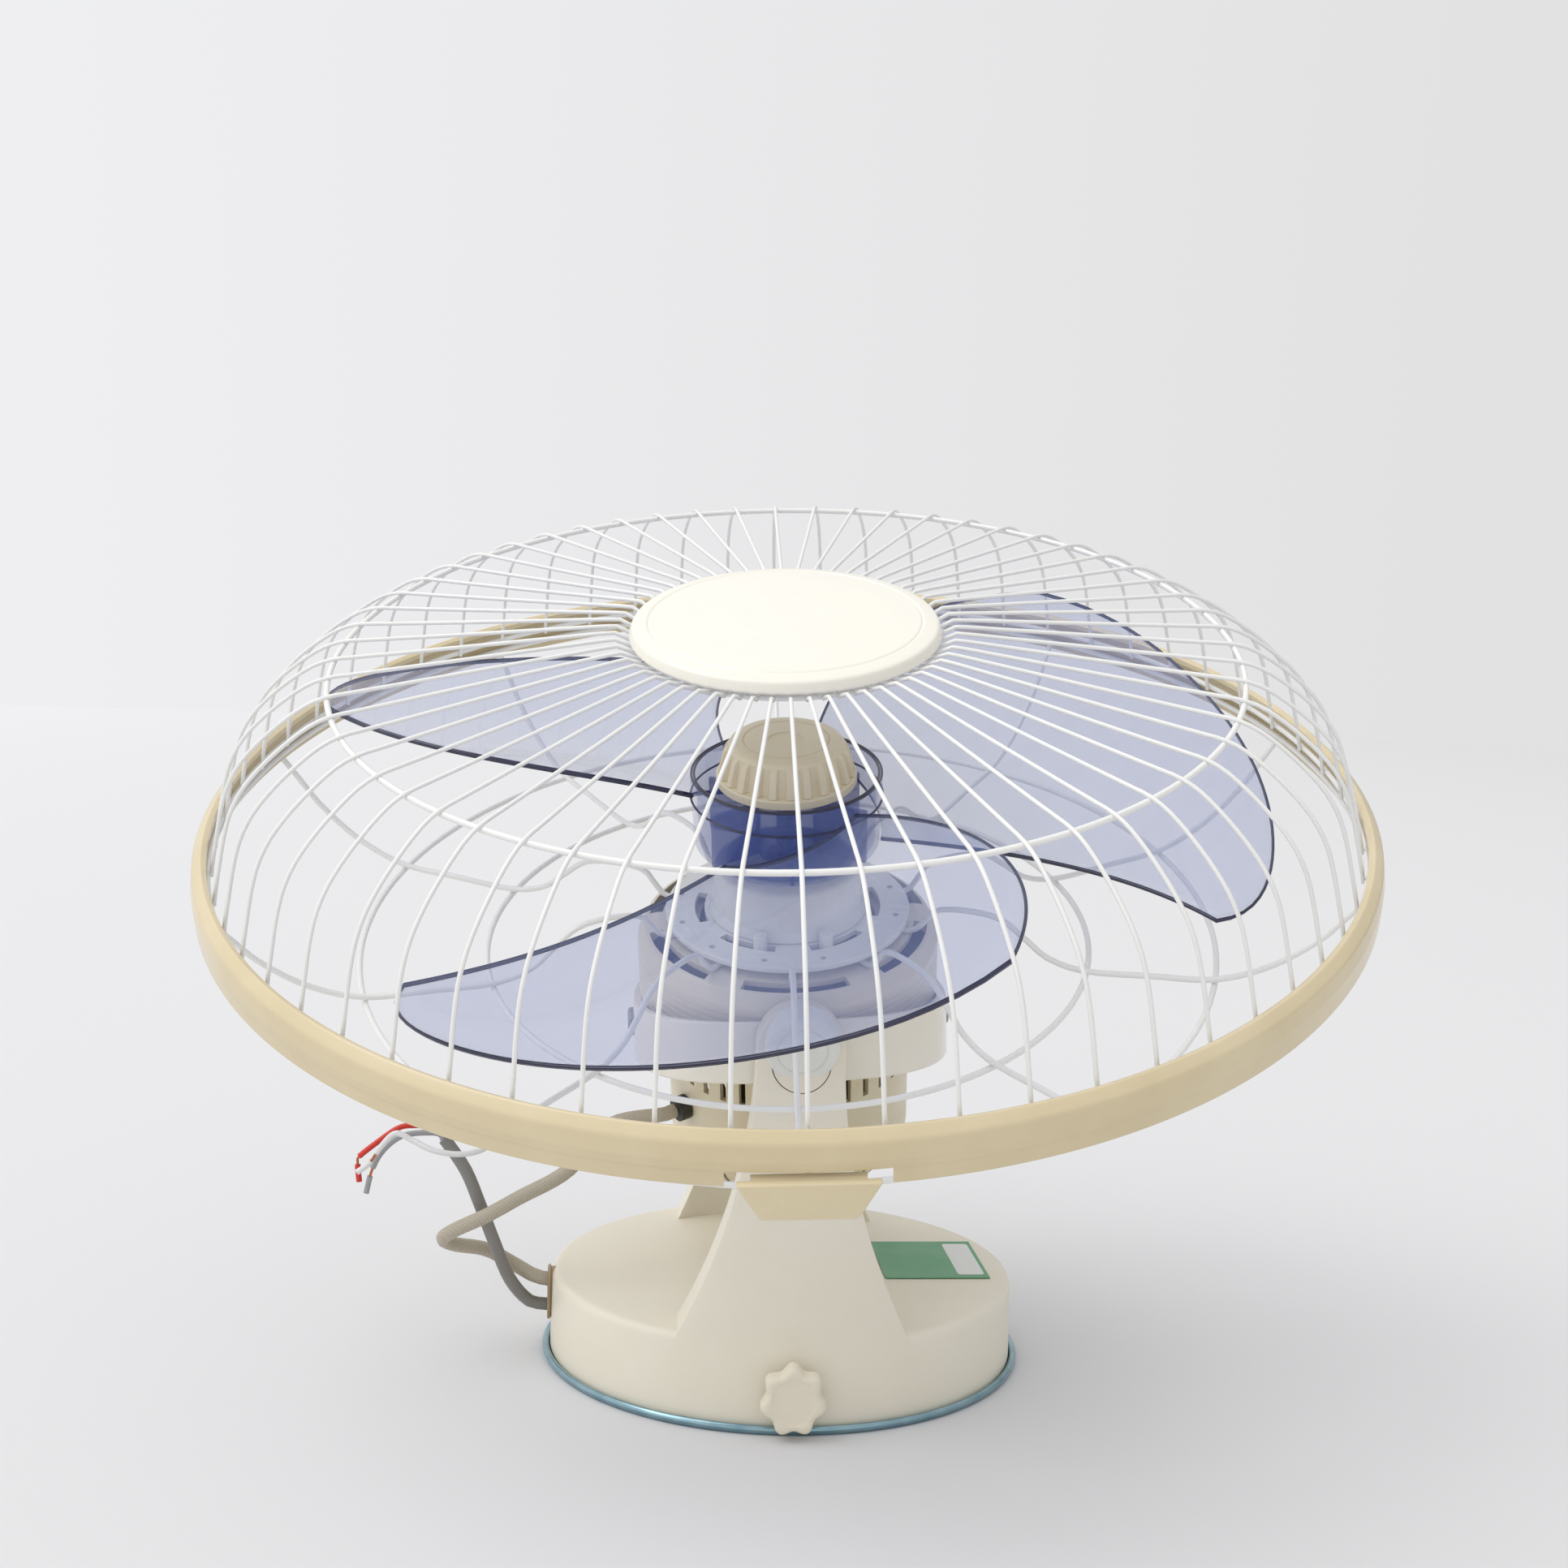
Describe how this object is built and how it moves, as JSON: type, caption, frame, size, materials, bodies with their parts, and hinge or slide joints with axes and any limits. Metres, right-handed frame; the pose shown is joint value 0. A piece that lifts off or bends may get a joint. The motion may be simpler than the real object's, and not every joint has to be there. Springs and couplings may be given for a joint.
{
  "type": "orbital fan",
  "caption": "Orbit ceiling fan with a caged three blade rotor on a gimbal ring between two yoke arms, over a round cover and ceiling plate, with its leads.",
  "frame": {"origin": "centre of the ceiling plate's outer face, on which the fan stands as pictured", "axes": "+Z from the ceiling plate towards the head, the front with the knob, the clasp and the leaning head at -Y, +X to the right of the front"},
  "size_m": [0.4597, 0.4315, 0.3595],
  "materials": {
    "zinc_steel": "satin zinc plate with a blue passivation",
    "cream_cover": "moulded, fine satin",
    "pin_steel": "turned",
    "cream_plug": "moulded, satin",
    "white_nylon": "moulded nylon",
    "grommet_rubber": "soft moulded",
    "stud_steel": "turned",
    "block_plastic": "moulded",
    "capacitor_shell": "moulded",
    "label_film": "printed film, left plain",
    "cream_knob": "moulded, satin",
    "white_ring": "glossy",
    "cream_motor": "satin enamel",
    "cream_housing": "moulded, satin",
    "white_plate": "glossy",
    "lamination_steel": "stacked laminations",
    "winding_copper": "enamelled winding",
    "bush_bronze": "sintered",
    "gear_case_zinc": "die cast",
    "shaft_steel": "ground",
    "crank_steel": "zinc plated",
    "cup_nylon": "moulded nylon",
    "white_enamel": "powder coated wire",
    "cage_enamel": "powder coated wire",
    "cream_rim": "glossy moulding",
    "ivory_disc": "glossy moulding",
    "cream_clasp": "glossy moulding",
    "blue_blade": "clear tinted moulding",
    "sand_nut": "moulded",
    "sleeve_fabric": "woven sleeve",
    "cable_jacket": "smooth jacket",
    "core_red": "insulation",
    "core_grey": "insulation",
    "core_white": "insulation",
    "gland_black": "moulded"
  },
  "bodies": {
    "base": {"mount_plate": "zinc_steel", "yoke_cover": "cream_cover", "pivot_pin_front": "pin_steel", "pivot_pin_rear": "pin_steel", "pivot_plug_front": "cream_plug", "pivot_plug_rear": "cream_plug", "pivot_cap_front": "white_nylon", "pivot_cap_rear": "white_nylon", "pivot_washer_front": "white_nylon", "pivot_washer_rear": "white_nylon", "ball_stud": "stud_steel", "lead_grommet": "grommet_rubber", "terminal_block": "block_plastic", "capacitor": "capacitor_shell", "cover_label": "label_film", "motor_lead": "sleeve_fabric", "supply_cable": "cable_jacket", "core_red": "core_red", "core_grey": "core_grey", "core_white": "core_white"},
    "gimbal": {"gimbal_ring": "white_ring", "side_pin_left": "pin_steel", "side_pin_right": "pin_steel"},
    "head": {"motor_shell": "cream_motor", "front_plate": "white_plate", "front_bell": "white_plate", "gear_housing": "cream_housing", "stator": "lamination_steel", "winding_front": "winding_copper", "winding_rear": "winding_copper", "bush_front": "bush_bronze", "bush_rear": "bush_bronze", "gear_case": "gear_case_zinc", "rear_hoop_inner": "white_enamel", "rear_hoop_small": "white_enamel", "rear_hoop_large": "white_enamel", "rear_hoop_outer": "white_enamel", "rear_wire_01": "white_enamel", "rear_wire_02": "white_enamel", "rear_wire_03": "white_enamel", "rear_wire_04": "white_enamel", "rear_wire_05": "white_enamel", "rear_wire_06": "white_enamel", "rear_wire_07": "white_enamel", "rear_wire_08": "white_enamel", "rear_wire_09": "white_enamel", "rear_wire_10": "white_enamel", "front_guard": "cage_enamel", "guard_ring": "cream_rim", "centre_disc": "ivory_disc", "lead_gland": "gland_black"},
    "rotor": {"motor_shaft": "shaft_steel", "rotor_core": "lamination_steel", "blades": "blue_blade"},
    "nut": {"spinner_nut": "sand_nut"},
    "crank_arm": {"crank": "crank_steel", "crank_cup": "cup_nylon"},
    "clasp": {"guard_clasp": "cream_clasp"},
    "knob": {"cover_knob": "cream_knob"}
  },
  "joints": [
    {"name": "orbit_roll", "type": "hinge", "parent": "base", "child": "gimbal", "pos_m": [0, 0, 0.1408], "axis": [0, 1, 0], "range_deg": [-18.8, 25.2]},
    {"name": "orbit_pitch", "type": "hinge", "parent": "gimbal", "child": "head", "pos_m": [0, 0, 0.1408], "axis": [0.9984, 0, 0.0558], "range_deg": [-44, 0], "deforming": ["motor_lead"]},
    {"name": "rotor_spin", "type": "hinge", "parent": "head", "child": "rotor", "pos_m": [0, 0, 0.1408], "axis": [-0.0518, -0.3746, 0.9257], "continuous": true},
    {"name": "spinner_thread", "type": "hinge", "parent": "rotor", "child": "nut", "pos_m": [0, 0, 0.1408], "axis": [-0.0518, -0.3746, 0.9257], "continuous": true},
    {"name": "crank_spin", "type": "hinge", "parent": "head", "child": "crank_arm", "pos_m": [0, 0, 0.1408], "axis": [-0.0518, -0.3746, 0.9257], "continuous": true},
    {"name": "clasp_hinge", "type": "hinge", "parent": "head", "child": "clasp", "pos_m": [-0.00673, -0.24629, 0.1395], "axis": [-0.9986, 0.0275, -0.0447], "range_deg": [0, 50]},
    {"name": "knob_turn", "type": "hinge", "parent": "base", "child": "knob", "pos_m": [0, -0.1, 0.0155], "axis": [0, -1, 0], "continuous": true}
  ]
}
